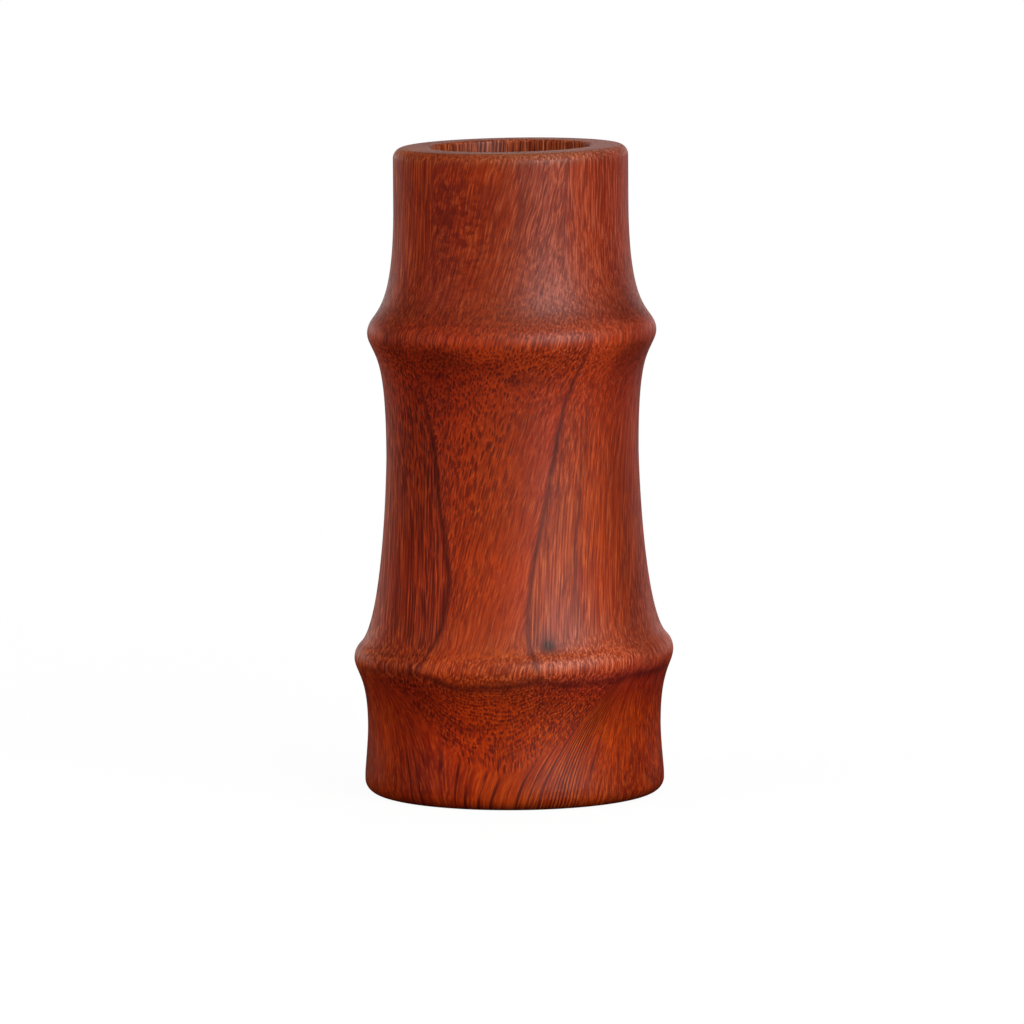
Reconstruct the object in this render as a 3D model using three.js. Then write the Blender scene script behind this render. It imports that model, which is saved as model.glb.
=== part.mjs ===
// A small turned hardwood vase in the form of a bamboo stem, with a glass water tube that lifts out.
// Millimetres, +Z up. The origin is the centre of the flat base.
import * as THREE from 'three';

// The water tube: a plain flat-bottomed glass tube
const tubeDiameter = 25;
const tubeWall = 1.2;
const tubeFloor = 2;
const tubeHeel = 2.2; // rounding of the tube's outer bottom edge
const tubeCorner = 0.8; // rounding inside, between the tube's wall and its floor
const tubeClearance = 0.5; // between the tube and the bore, all round
const tubeBelowRim = 3; // how far the tube's lip sits under the rim of the vase

// What the tube stands on: a cork pad on a wooden plug that closes the bore from below
const padThickness = 1.5;
const padClearance = 0.4; // between the pad and the bore
const plugThickness = 5;
const plugLedge = 4; // width of the shoulder that the plug is pushed up against
const plugRecess = 0.5; // the plug stops this far above the ground, so the vase stands on its foot
const glueGap = 0.15; // between the plug and its rebate

// Radial sizes of the turned outside
const standingRing = 5.2; // flat ring under the foot, outside the plug
const footRounding = 2.1;
const footFlare = 0.5; // the foot stands out this far from the hollow above it
const lowerRingStandOut = 2.1; // from the hollow below it
const waistWall = 7.45;
const upperRingStandOut = 2.95; // from the waist below it
const lipRounding = 0.5; // edge between the rim and the bore
const rimFlat = 3.8;
const rimRounding = 1.7; // edge between the rim and the outside

// Heights of the turned outside, each counted from the place before it
const footLand = 0.8; // upright stretch above the foot's rounding
const baseHollowRise = 8.05;
const lowerRingRise = 11.6;
const waistRise = 32.85;
const upperRingRise = 19.6;
const neckRise = 20.85;
const neckLand = 7.45; // upright stretch below the rim's rounding

// Each ring is a round bead. A lean is the angle from upright at which the bead runs into a flank.
const lowerBeadRadius = 3.2;
const lowerBeadUnderLean = THREE.MathUtils.degToRad(11.5);
const lowerBeadOverLean = THREE.MathUtils.degToRad(45.5);
const upperBeadRadius = 3.2;
const upperBeadUnderLean = THREE.MathUtils.degToRad(22.5);
const upperBeadOverLean = THREE.MathUtils.degToRad(23.5);

// How far a flank holds its first direction at its lower and its upper end, as a share of its height
const footFlank = { lower: 0.1, upper: 0.36 };
const underLowerRing = { lower: 0.7, upper: 0.18 };
const overLowerRing = { lower: 0.12, upper: 0.1 };
const underUpperRing = { lower: 0.8, upper: 0.16 };
const overUpperRing = { lower: 0.125, upper: 0.86 };

// How finely round shapes are cut
const stepsAround = 48;
const stepsPerFlank = 8;
const arcStep = THREE.MathUtils.degToRad(18);
const samePoint = 1e-6;

// Places that follow from the sizes above
const tubeRadius = tubeDiameter / 2;
const boreRadius = tubeRadius + tubeClearance;
const rebateRadius = boreRadius + plugLedge;
const footRadius = rebateRadius + standingRing + footRounding;
const baseHollowRadius = footRadius - footFlare;
const lowerRingRadius = baseHollowRadius + lowerRingStandOut;
const waistRadius = boreRadius + waistWall;
const upperRingRadius = waistRadius + upperRingStandOut;
const neckRadius = boreRadius + lipRounding + rimFlat + rimRounding;

const footHeight = footRounding + footLand;
const baseHollowHeight = footHeight + baseHollowRise;
const lowerRingHeight = baseHollowHeight + lowerRingRise;
const waistHeight = lowerRingHeight + waistRise;
const upperRingHeight = waistHeight + upperRingRise;
const neckHeight = upperRingHeight + neckRise;
const vaseHeight = neckHeight + neckLand + rimRounding;

const boreFloor = plugRecess + plugThickness;
const tubeBottom = boreFloor + padThickness;
const tubeTop = vaseHeight - tubeBelowRim;

// A flank between two places on the outline: it leaves the lower one and reaches the upper one
// at the given leans, and holds each of those directions for a share of the flank's height.
function flankTo(outline, end, lowerLean, upperLean, hold) {
  const start = outline.currentPoint;
  const rise = end.y - start.y;
  const lowerHold = hold.lower * rise;
  const upperHold = hold.upper * rise;
  outline.bezierCurveTo(
    start.x + lowerHold * Math.tan(lowerLean),
    start.y + lowerHold,
    end.x - upperHold * Math.tan(upperLean),
    end.y - upperHold,
    end.x,
    end.y,
  );
}

// The bead of a ring, from its lower end round its crest to its upper end
function ringBead(crestRadius, crestHeight, beadRadius, underLean, overLean) {
  const centre = crestRadius - beadRadius;
  return {
    start: new THREE.Vector2(
      centre + beadRadius * Math.cos(underLean),
      crestHeight - beadRadius * Math.sin(underLean),
    ),
    addTo: (outline) => outline
      .absarc(centre, crestHeight, beadRadius, -underLean, 0, false)
      .absarc(centre, crestHeight, beadRadius, 0, overLean, false),
  };
}

// How many steps a stretch of an outline needs: a straight one needs only its ends
function stepsAlong(curve) {
  if (curve.isLineCurve) return 1;
  if (curve.isEllipseCurve) return Math.ceil(Math.abs(curve.aEndAngle - curve.aStartAngle) / arcStep);
  return stepsPerFlank;
}

// A closed outline of radius and height, turned about the upright axis
function turned(outline) {
  const points = outline.curves.flatMap((curve) => curve.getPoints(stepsAlong(curve)));
  const distinct = points.filter((point, i) => i === 0 || point.distanceTo(points[i - 1]) > samePoint);
  const geometry = new THREE.LatheGeometry(distinct, stepsAround);
  return geometry.rotateX(Math.PI / 2);
}

function piece(name, geometry, finish) {
  const mesh = new THREE.Mesh(geometry, new THREE.MeshStandardMaterial(finish));
  mesh.name = name;
  return mesh;
}

// The turned body: foot, two bamboo rings, waist, neck and rim outside; bore and plug rebate inside
function turnedBody() {
  const quarter = Math.PI / 2;
  const lowerBead = ringBead(
    lowerRingRadius, lowerRingHeight, lowerBeadRadius, lowerBeadUnderLean, lowerBeadOverLean,
  );
  const upperBead = ringBead(
    upperRingRadius, upperRingHeight, upperBeadRadius, upperBeadUnderLean, upperBeadOverLean,
  );
  const baseHollow = new THREE.Vector2(baseHollowRadius, baseHollowHeight);
  const waist = new THREE.Vector2(waistRadius, waistHeight);
  const neck = new THREE.Vector2(neckRadius, neckHeight);

  const outline = new THREE.Path();
  outline.moveTo(rebateRadius, 0);
  outline.lineTo(footRadius - footRounding, 0);
  outline.absarc(footRadius - footRounding, footRounding, footRounding, -quarter, 0, false);
  outline.lineTo(footRadius, footHeight);
  flankTo(outline, baseHollow, 0, 0, footFlank);
  flankTo(outline, lowerBead.start, 0, lowerBeadUnderLean, underLowerRing);
  lowerBead.addTo(outline);
  flankTo(outline, waist, -lowerBeadOverLean, 0, overLowerRing);
  flankTo(outline, upperBead.start, 0, upperBeadUnderLean, underUpperRing);
  upperBead.addTo(outline);
  flankTo(outline, neck, -upperBeadOverLean, 0, overUpperRing);
  outline.lineTo(neckRadius, vaseHeight - rimRounding);
  outline.absarc(neckRadius - rimRounding, vaseHeight - rimRounding, rimRounding, 0, quarter, false);
  outline.lineTo(boreRadius + lipRounding, vaseHeight);
  outline.absarc(
    boreRadius + lipRounding, vaseHeight - lipRounding, lipRounding, quarter, Math.PI, false,
  );
  outline.lineTo(boreRadius, boreFloor);
  outline.lineTo(rebateRadius, boreFloor);
  outline.lineTo(rebateRadius, 0);
  return piece('turned_body', turned(outline), { color: 0xa53c23, roughness: 0.45, metalness: 0 });
}

// A plain disc, from the axis out to its edge
function disc(radius, bottom, thickness) {
  const outline = new THREE.Path();
  outline.moveTo(0, bottom);
  outline.lineTo(radius, bottom);
  outline.lineTo(radius, bottom + thickness);
  outline.lineTo(0, bottom + thickness);
  return turned(outline);
}

// The plug that closes the bore, glued up against the shoulder of its rebate
function basePlug() {
  const geometry = disc(rebateRadius - glueGap, plugRecess, plugThickness);
  return piece('base_plug', geometry, { color: 0x8f3520, roughness: 0.6, metalness: 0 });
}

// The cork pad that the glass stands on
function corkPad() {
  const geometry = disc(boreRadius - padClearance, boreFloor, padThickness);
  return piece('cork_pad', geometry, { color: 0xb68a5c, roughness: 0.9, metalness: 0 });
}

// The glass water tube: flat bottom with a rounded heel, straight wall and a fire-polished lip
function waterTube() {
  const quarter = Math.PI / 2;
  const innerRadius = tubeRadius - tubeWall;
  const innerFloor = tubeBottom + tubeFloor;
  const lipRadius = tubeWall / 2;
  const heel = Math.min(tubeHeel, tubeWall + tubeFloor);
  const outline = new THREE.Path();
  outline.moveTo(0, tubeBottom);
  outline.lineTo(tubeRadius - heel, tubeBottom);
  outline.absarc(tubeRadius - heel, tubeBottom + heel, heel, -quarter, 0, false);
  outline.lineTo(tubeRadius, tubeTop - lipRadius);
  outline.absarc(tubeRadius - lipRadius, tubeTop - lipRadius, lipRadius, 0, Math.PI, false);
  outline.lineTo(innerRadius, innerFloor + tubeCorner);
  outline.absarc(innerRadius - tubeCorner, innerFloor + tubeCorner, tubeCorner, 0, -quarter, true);
  outline.lineTo(0, innerFloor);
  const glass = { color: 0xe4efea, roughness: 0.05, metalness: 0, transparent: true, opacity: 0.35 };
  return piece('water_tube', turned(outline), glass);
}

const vase = new THREE.Group();
vase.add(turnedBody(), basePlug(), corkPad(), waterTube());

export default vase;
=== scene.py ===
# %% [markdown]
# # A bamboo-stem vase, turned from red hardwood
#
# The object is a small vase turned on a lathe from one length of red hardwood, with two rings like
# the nodes of a bamboo stem. A plug closes its bore from below, and a glass tube for water stands in
# the bore on a cork pad. The frame holds those pieces at their real size. This lesson gives each of
# them a smooth surface and its finish: solid wood with pores and veins, cork, and clear glass.

# %% Load the frame and note its box
import math

import bpy
import numpy as np
from mathutils import Matrix, Vector


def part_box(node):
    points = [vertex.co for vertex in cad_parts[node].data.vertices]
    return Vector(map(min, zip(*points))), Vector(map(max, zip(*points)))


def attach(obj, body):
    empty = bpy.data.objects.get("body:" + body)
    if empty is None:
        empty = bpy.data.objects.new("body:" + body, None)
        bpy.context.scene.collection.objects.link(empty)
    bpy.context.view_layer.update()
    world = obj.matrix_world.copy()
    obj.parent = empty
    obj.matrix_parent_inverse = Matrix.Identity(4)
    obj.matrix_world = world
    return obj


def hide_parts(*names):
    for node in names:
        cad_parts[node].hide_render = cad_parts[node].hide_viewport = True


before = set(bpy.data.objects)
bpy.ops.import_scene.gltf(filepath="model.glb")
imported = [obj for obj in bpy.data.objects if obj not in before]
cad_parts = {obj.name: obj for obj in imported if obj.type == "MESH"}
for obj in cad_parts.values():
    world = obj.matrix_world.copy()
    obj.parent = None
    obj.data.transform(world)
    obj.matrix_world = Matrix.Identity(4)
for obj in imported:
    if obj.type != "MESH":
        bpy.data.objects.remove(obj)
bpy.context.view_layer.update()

MM = 0.001
_, body_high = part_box("turned_body")
plug_low, plug_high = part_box("base_plug")
pad_low, pad_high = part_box("cork_pad")
tube_low, tube_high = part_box("water_tube")
vase_height = body_high.z / MM
widest_radius = body_high.x / MM
print(f"vase {vase_height:.1f} mm high, {2 * widest_radius:.1f} mm across its wider ring")

# %% [markdown]
# ## The outline
#
# A turner works from the outline of half the vase, given as radius and height. Each ring is a round
# bead, an arc. The stretches between the beads are hollows, drawn here as cubic curves that leave one
# place and reach the next at a given lean from upright. A polygon drawn by hand would need many more
# points and would still show its corners.

# %% Helpers for an outline
SAME_PLACE = 1e-7


def arc(centre, radius, start_degrees, end_degrees, steps):
    """Points on a circle: centre plus radius times the cosine and sine of an evenly stepped angle."""
    angle = np.radians(np.linspace(start_degrees, end_degrees, steps))
    return np.stack([centre[0] + radius * np.cos(angle), centre[1] + radius * np.sin(angle)], axis=1)


def flank(start, end, leans, holds, steps):
    """A cubic curve from start to end. Each end keeps its lean from upright for a share of the rise."""
    start, end = np.array(start, float), np.array(end, float)
    rise = end[1] - start[1]
    first_slope, last_slope = np.tan(np.radians(leans))
    first = start + holds[0] * rise * np.array([first_slope, 1.0])
    last = end - holds[1] * rise * np.array([last_slope, 1.0])
    t = np.linspace(0, 1, steps)[:, None]
    return (1 - t) ** 3 * start + 3 * (1 - t) ** 2 * t * first + 3 * (1 - t) * t ** 2 * last + t ** 3 * end


def straight(start, end, steps):
    """Evenly spaced points from start to end."""
    return np.linspace(start, end, steps)


def joined(*stretches):
    """The stretches in a row, with the point that two neighbours share kept once."""
    points = np.concatenate(stretches)
    moved = np.linalg.norm(np.diff(points, axis=0), axis=1) > SAME_PLACE
    return points[np.concatenate([[True], moved])]


# %% The outline of the vase, in millimetres
BORE_RADIUS = 13.0
REBATE_RADIUS = 17.0
FOOT_RADIUS = 24.3
FOOT_ROUNDING = 2.1
FOOT_TOP = (FOOT_RADIUS, 2.9)
BASE_HOLLOW = (23.8, 10.95)
LOWER_RING = (widest_radius, 22.55)
WAIST = (20.45, 55.4)
UPPER_RING = (23.4, 75.0)
NECK = (19.0, 95.85)
RIM_ROUNDING = 1.7
LIP_ROUNDING = 0.5
BEAD_RADIUS = 3.2
LOWER_UNDER, LOWER_OVER = 11.5, 45.5
UPPER_UNDER, UPPER_OVER = 22.5, 23.5
CORNER = 0.25
bore_floor = plug_high.z / MM
rim_radius = NECK[0] - RIM_ROUNDING

lower_bead = arc((LOWER_RING[0] - BEAD_RADIUS, LOWER_RING[1]), BEAD_RADIUS, -LOWER_UNDER, LOWER_OVER, 28)
upper_bead = arc((UPPER_RING[0] - BEAD_RADIUS, UPPER_RING[1]), BEAD_RADIUS, -UPPER_UNDER, UPPER_OVER, 26)
outside = joined(
    arc((FOOT_RADIUS - FOOT_ROUNDING, FOOT_ROUNDING), FOOT_ROUNDING, -90, 0, 16),
    straight((FOOT_RADIUS, FOOT_ROUNDING), FOOT_TOP, 4),
    flank(FOOT_TOP, BASE_HOLLOW, (0, 0), (0.1, 0.36), 24),
    flank(BASE_HOLLOW, lower_bead[0], (0, LOWER_UNDER), (0.7, 0.18), 34),
    lower_bead,
    flank(lower_bead[-1], WAIST, (-LOWER_OVER, 0), (0.12, 0.1), 84),
    flank(WAIST, upper_bead[0], (0, UPPER_UNDER), (0.8, 0.16), 54),
    upper_bead,
    flank(upper_bead[-1], NECK, (-UPPER_OVER, 0), (0.125, 0.86), 58),
    straight(NECK, (NECK[0], vase_height - RIM_ROUNDING), 16),
    arc((rim_radius, vase_height - RIM_ROUNDING), RIM_ROUNDING, 0, 90, 16),
)
inside = joined(
    straight((rim_radius, vase_height), (BORE_RADIUS + LIP_ROUNDING, vase_height), 8),
    arc((BORE_RADIUS + LIP_ROUNDING, vase_height - LIP_ROUNDING), LIP_ROUNDING, 90, 180, 8),
    straight((BORE_RADIUS, vase_height - LIP_ROUNDING), (BORE_RADIUS, bore_floor + CORNER), 40),
    straight((BORE_RADIUS + CORNER, bore_floor), (REBATE_RADIUS - CORNER, bore_floor), 4),
    straight((REBATE_RADIUS, bore_floor - CORNER), (REBATE_RADIUS, CORNER), 6),
    straight((REBATE_RADIUS + CORNER, 0), (FOOT_RADIUS - FOOT_ROUNDING, 0), 6),
)
body_outline = joined(outside, inside)[:-1]
print(f"body outline: {len(body_outline)} points, {len(outside)} of them outside")

# %% [markdown]
# ## From outline to surface
#
# A turned surface is its outline carried round the axis: a grid with one direction along the outline
# and one round it. All corners of the grid are worked out as whole arrays. Angle 0 faces the front,
# which is -Y, so that a place on the surface can be named by its angle from the front and its height.

# %% Helpers for a turned surface
STEPS_AROUND = 200


def turned_grid(outline):
    """Radius times the sine and minus the cosine of the angle, and the height, for each point and angle."""
    angle = np.linspace(0, 2 * np.pi, STEPS_AROUND, endpoint=False)
    radius, height = outline[:, :1], outline[:, 1:]
    x = radius * np.sin(angle)
    y = -radius * np.cos(angle)
    return np.stack([x, y, np.broadcast_to(height, x.shape)], axis=-1)


def grid_quads(rows, columns, closed_rows):
    """Four corner numbers for each cell of a grid that wraps round, and also end to start if closed."""
    row = np.arange(rows if closed_rows else rows - 1)[:, None]
    column = np.arange(columns)[None, :]
    next_row = (row + 1) % rows
    next_column = (column + 1) % columns
    corners = [row * columns + column, row * columns + next_column,
               next_row * columns + next_column, next_row * columns + column]
    return np.stack(corners, axis=-1).reshape(-1, 4)


def mesh_object(name, points_mm, polygons):
    """A smooth-shaded mesh object from an array of points in millimetres and lists of corner numbers."""
    mesh = bpy.data.meshes.new(name)
    mesh.from_pydata((points_mm * MM).tolist(), [], polygons)
    mesh.update()
    mesh.shade_smooth()
    made = bpy.data.objects.new(name, mesh)
    bpy.context.scene.collection.objects.link(made)
    return made


def solid_of_revolution(name, outline):
    """A closed piece whose outline starts and ends on the axis: rings of quads, and a fan at each pole."""
    grid = turned_grid(outline[1:-1])
    rows, columns = grid.shape[:2]
    poles = [[0, 0, outline[0, 1]], [0, 0, outline[-1, 1]]]
    points = np.concatenate([grid.reshape(-1, 3), poles])
    here = np.arange(columns)
    beside = (here + 1) % columns
    last_row = (rows - 1) * columns
    first_pole = np.full(columns, rows * columns)
    low_fan = np.stack([first_pole, beside, here], axis=1)
    high_fan = np.stack([last_row + here, last_row + beside, first_pole + 1], axis=1)
    polygons = grid_quads(rows, columns, False).tolist() + low_fan.tolist() + high_fan.tolist()
    return mesh_object(name, points, polygons)


def dress(piece, body, node_name):
    """Ties a piece to the body it moves with, and hides the CAD node it stands for."""
    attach(piece, body)
    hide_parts(node_name)
    print(f"{piece.name}: {len(piece.data.polygons)} faces, rides on {body}, stands for {node_name}")


# %% [markdown]
# ## The turned body
#
# Sanding by hand has left the rings of this vase a hair out of square: each one climbs a little to the
# right. The lean of the wood at each height is a smooth curve through a few stations, and it moves a
# point up by the lean times its distance to the right. The standing face stays flat. Stations
# are written as place: value, here and further on, and the place is a height in millimetres or an
# angle from the front in degrees.

# %% A smooth curve through a few stations
def through(stations, at):
    """Cubic pieces through the stations, with the slopes that their neighbours give; level past the ends."""
    knots, values = np.array(list(stations.items()), float).T
    slopes = np.gradient(values, knots)
    at = np.clip(at, knots[0], knots[-1])
    piece = np.clip(np.searchsorted(knots, at) - 1, 0, len(knots) - 2)
    gap = knots[piece + 1] - knots[piece]
    t = (at - knots[piece]) / gap
    start = (1 + 2 * t) * (1 - t) ** 2 * values[piece] + t * (1 - t) ** 2 * gap * slopes[piece]
    end = t ** 2 * (3 - 2 * t) * values[piece + 1] - t ** 2 * (1 - t) * gap * slopes[piece + 1]
    return start + end


# %% Make the body
RING_LEAN = {0: 0, 8: 0, 24: 1.39, 50: 1, 75: 0.43, 105: 0.68}

true_grid = turned_grid(body_outline)
x, y, z = true_grid.reshape(-1, 3).T
lean = np.tan(np.radians(through(RING_LEAN, z)))
body_points = np.stack([x, y, z + lean * x], axis=1)
body_quads = grid_quads(*true_grid.shape[:2], True)
wood_body = mesh_object("wood_body", body_points, body_quads.tolist())
dress(wood_body, "vase", "turned_body")

# %% [markdown]
# ## Plug, pad and tube
#
# The plug is a disc of the same wood, glued into a rebate under the bore. The cork pad is a thin disc
# on top of it. The tube is drawn glass with a round heel and a fire-polished lip. All three are turned
# shapes whose outline starts and ends on the axis.

# %% Make the plug and the pad
PLUG_CHAMFER, PAD_CHAMFER = 0.3, 0.15


def disc_outline(low, high, chamfer):
    """A disc with a small chamfer on both edges, from the axis at the bottom to the axis at the top."""
    radius, bottom, top = high.x / MM, low.z / MM, high.z / MM
    return joined(
        straight((0, bottom), (radius - chamfer, bottom), 12),
        straight((radius - chamfer, bottom), (radius, bottom + chamfer), 3),
        straight((radius, bottom + chamfer), (radius, top - chamfer), 6),
        straight((radius, top - chamfer), (radius - chamfer, top), 3),
        straight((radius - chamfer, top), (0, top), 12),
    )


plug = solid_of_revolution("plug", disc_outline(plug_low, plug_high, PLUG_CHAMFER))
dress(plug, "vase", "base_plug")
cork = solid_of_revolution("cork", disc_outline(pad_low, pad_high, PAD_CHAMFER))
dress(cork, "vase", "cork_pad")

# %% Make the tube
TUBE_WALL = 1.2
TUBE_FLOOR = 2.0
TUBE_HEEL = 2.2
TUBE_CORNER = 0.8
tube_radius, tube_bottom, tube_top = tube_high.x / MM, tube_low.z / MM, tube_high.z / MM
inner_radius = tube_radius - TUBE_WALL
inner_floor = tube_bottom + TUBE_FLOOR
lip = TUBE_WALL / 2
tube_outline = joined(
    straight((0, tube_bottom), (tube_radius - TUBE_HEEL, tube_bottom), 10),
    arc((tube_radius - TUBE_HEEL, tube_bottom + TUBE_HEEL), TUBE_HEEL, -90, 0, 14),
    straight((tube_radius, tube_bottom + TUBE_HEEL), (tube_radius, tube_top - lip), 20),
    arc((tube_radius - lip, tube_top - lip), lip, 0, 180, 20),
    straight((inner_radius, tube_top - lip), (inner_radius, inner_floor + TUBE_CORNER), 20),
    arc((inner_radius - TUBE_CORNER, inner_floor + TUBE_CORNER), TUBE_CORNER, 0, -90, 10),
    straight((inner_radius - TUBE_CORNER, inner_floor), (0, inner_floor), 10),
)
glass = solid_of_revolution("glass", tube_outline)
dress(glass, "tube", "water_tube")

# %% [markdown]
# ## The figure of the wood
#
# Dark veins bound a tongue of wood on the front, whose fibres lean to the right. Beside it and below
# it the fibres stand almost upright. A vein that climbs is an angle from the front for each height; a
# line that runs across is a height for each angle; both say how dark they are along the way. The mesh
# stores only the distance to each line, which changes slowly, so the shader draws it sharp at any zoom.

# %% Veins
VEINS = {
    "left_vein": {
        "angles": {20: -42, 24.3: -35.5, 31.8: -29.3, 38: -28.8, 46.8: -33.4, 61.4: -40, 71.2: -47, 77: -51,
                   86: -44, 105: -40},
        "depths": {20: 0, 23: 0.8, 30: 1, 46: 1, 62: 0.9, 72: 0.4, 78: 0.1, 105: 0.15},
        "width": 0.9,
    },
    "right_vein": {
        "angles": {20: 10, 22.9: 8.5, 29: 5.4, 37.5: 7.7, 46.8: 13.4, 58.1: 20, 66: 25, 71.7: 30.7, 76: 33,
                   86: 27, 105: 28},
        "depths": {20: 0, 23: 0.8, 30: 1, 46: 1, 62: 1, 72: 0.8, 78: 0.2, 90: 0.35, 105: 0.3},
        "width": 0.9,
    },
    "third_vein": {
        "angles": {24: 25, 30: 26, 47.8: 30.3, 57.1: 34, 66.5: 37.5, 73: 44.6},
        "depths": {24: 0, 30: 0.45, 46: 0.6, 62: 0.45, 72: 0.1, 76: 0},
        "width": 0.9,
    },
}
CROSS_LINES = {
    "under_line": {
        "heights": {-68: 21.8, -52: 22.2, -35.5: 22, -19.5: 20, -5: 20.2, 7.2: 20.8, 18: 20.2, 37.5: 20.2,
                    50: 20.5, 68: 20.5},
        "depths": {-76: 0, -66: 0.5, -50: 0.4, -32: 0.8, 0: 0.82, 25: 0.82, 42: 0.85, 55: 0.85, 68: 0.8,
                   82: 0},
        "width": 1.2,
    },
    "bowl_line": {
        "heights": {-45: 21, -37.3: 19.2, -24.8: 14.2, -12: 13.5, 0: 14.8, 16: 18.5, 22: 20},
        "depths": {-45: 0, -37: 0.25, -12: 0.35, 0: 0.3, 16: 0.15, 22: 0},
        "width": 1.2,
    },
    "upper_line": {
        "heights": {-60: 74, -38: 73.5, -28.8: 73.2, -16.6: 71.2, -5: 70, 8.7: 68.9, 16.5: 69.4, 28: 71.6,
                    36: 74.5},
        "depths": {-60: 0.3, -38: 0.4, -16: 0.3, 8: 0.3, 20: 0.15, 36: 0},
        "width": 2.4,
    },
}
print(f"{len(VEINS)} veins, {len(CROSS_LINES)} cross lines")


# %% Distance to each line
def store(name, values):
    """Keeps one number or one vector per point of the body under a name that a material can read."""
    kind, field = ("FLOAT", "value") if values.ndim == 1 else ("FLOAT_VECTOR", "vector")
    attribute = wood_body.data.attributes.new(name, kind, "POINT")
    attribute.data.foreach_set(field, values.astype(np.float32).ravel())


radius = np.hypot(x, y)
angle = np.degrees(np.arctan2(x, -y))
in_bore = radius < BORE_RADIUS + LIP_ROUNDING / 2
beside = {}
for name, vein in VEINS.items():
    beside[name] = np.radians(angle - through(vein["angles"], z)) * radius
    store(name, beside[name])
    store(name + "_depth", np.where(in_bore, 0.0, through(vein["depths"], z)))
above = {}
for name, line in CROSS_LINES.items():
    above[name] = z - through(line["heights"], angle)
    store(name, above[name])
    store(name + "_depth", through(line["depths"], angle))
tongue = np.minimum(np.minimum(beside["left_vein"], -beside["right_vein"]), above["under_line"])
store("tongue", tongue)
print(f"tongue on {np.mean(tongue > 0):.0%} of the points")

# %% [markdown]
# ## Growth layers and fibres
#
# The layers a tree adds each year lie nearly parallel to the front of this vase, and bow a little. A
# layer's number is the depth behind the front, plus a rise, a tilt and a bow. Where the surface runs
# along the layers the bands are wide, and where it cuts across them they are narrow. The fibres lean
# within the solid, so the vessels that show as dark pores are long streaks where the surface follows
# them and dots where it cuts them.

# %% Layer numbers and fibre places
LAYER_RISE = {0: 0, 5: 0.5, 10: 1.6, 14: 2.8, 20: 4.2, 24: 5.2, 37: 7.7, 50: 9.1, 62: 9.2, 75: 8.3, 85: 7.9,
              105: 7.7}
LAYER_TILT = {0: -0.126, 20: -0.12, 34: -0.035, 75: -0.07, 105: -0.07}
LAYER_BOW = {0: 0.005, 20: 0.006, 34: 0.018, 105: 0.018}
FIBRE_DEPTH = {0: -2.4, 4: -1.6, 9: 0, 13: 1.5, 20: 4.6, 22: 5, 25: 5.3, 30: 6.6, 50: 10, 58: 11.2,
               64: 12.1, 70: 13.6, 73: 14.3, 77: 14.8, 86: 15.4, 105: 15.4}
ROW_DEPTH = {0: 0, 8: 0.6, 12: 1.2, 19: 1.2, 23: 0.3, 34: 0.1, 58: 0.15, 66: 0.7, 71: 0.7, 74: 0.1,
             105: 0.1}
TONGUE_LEAN = 0.27
OUTER_LEAN = 0.05
OUTER_SHORTENING = 0.5

layer = -y + through(LAYER_RISE, z) + through(LAYER_TILT, z) * x + through(LAYER_BOW, z) * x ** 2
behind = y - through(FIBRE_DEPTH, z)
store("layer", layer)
store("tongue_fibre", np.stack([x - TONGUE_LEAN * z, behind, z], axis=1))
store("outer_fibre", np.stack([x - OUTER_LEAN * z, behind, OUTER_SHORTENING * z], axis=1))
store("row_depth", through(ROW_DEPTH, z))
print(f"layers {layer.min():.1f} to {layer.max():.1f}")

# %% [markdown]
# ## How strongly the grain shows
#
# Pores, thin dark lines and fibres are not equally strong all over: each has curves by height and by
# angle, and the tongue has curves of its own. Beside the right vein the tongue is calm, and its pores
# fade there. Strengths could be painted on the mesh, but a few stations are easier to read and change.

# %% Strength of pores, lines and fibres
STREAK_TOP = 20.0
TONGUE_PORES = {20: 0.6, 28: 0.5, 38: 0.58, 48: 0.72, 58: 0.8, 66: 0.78, 73: 0.82, 77: 0.6, 82: 0.45,
                92: 0.5, 105: 0.55}
OUTER_PORES = {0: 0.9, 8: 0.85, 12: 0.85, 20: 0.85, 24: 0.68, 32: 0.7, 50: 0.68, 66: 0.75, 74: 0.8, 78: 0.5,
               84: 0.45, 105: 0.55}
FOOT_PORES = {-180: 0.75, -70: 0.85, -50: 0.95, -36: 1, -20: 1, 22: 1, 36: 1.05, 50: 1.05, 70: 0.95,
              180: 0.75}
SIDE_PORES = {-180: 1, -80: 1, -60: 1.25, -40: 1.25, -20: 1, 180: 1}
TONGUE_LINES = {23: 0, 27: 1, 34: 1.3, 44: 1.2, 52: 0.7, 60: 0.2, 66: 0, 80: 0, 86: 0.6, 96: 0.7, 102: 0.5,
                104: 0}
OUTER_LINES = {23: 0, 27: 0.8, 34: 1, 58: 1, 66: 0.5, 70: 0, 80: 0, 86: 0.5, 96: 0.6, 102: 0.4, 104: 0}
FIBRES_UP = {0: 1, 16: 1, 20: 1.2, 22.5: 1.8, 25: 0.95, 29: 0.95, 34: 0.9, 50: 0.75, 60: 0.75, 70: 0.62,
             80: 0.9, 90: 1.2, 105: 1.2}
FIBRES_ROUND = {-180: 1.2, -70: 1.75, -55: 1.8, -30: 1.25, -5: 0.9, 10: 1.35, 30: 1.85, 45: 1.45, 70: 1.6,
                180: 1.2}
BORE_FIBRES = 1.5
CALM_UP = {24: 0, 30: 0.5, 52: 0.65, 62: 0.65, 66: 0.35, 70: 0}
CALM_REACH = 10.0

calm = np.clip(1 + beside["right_vein"] / CALM_REACH, 0, 1) * through(CALM_UP, z)
tongue_share = np.clip(0.5 + tongue, 0, 1)


def by_zone(in_tongue, elsewhere):
    """The first value in the tongue and the second elsewhere, mixed over a millimetre at the edge."""
    return tongue_share * in_tongue + (1 - tongue_share) * elsewhere


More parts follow.
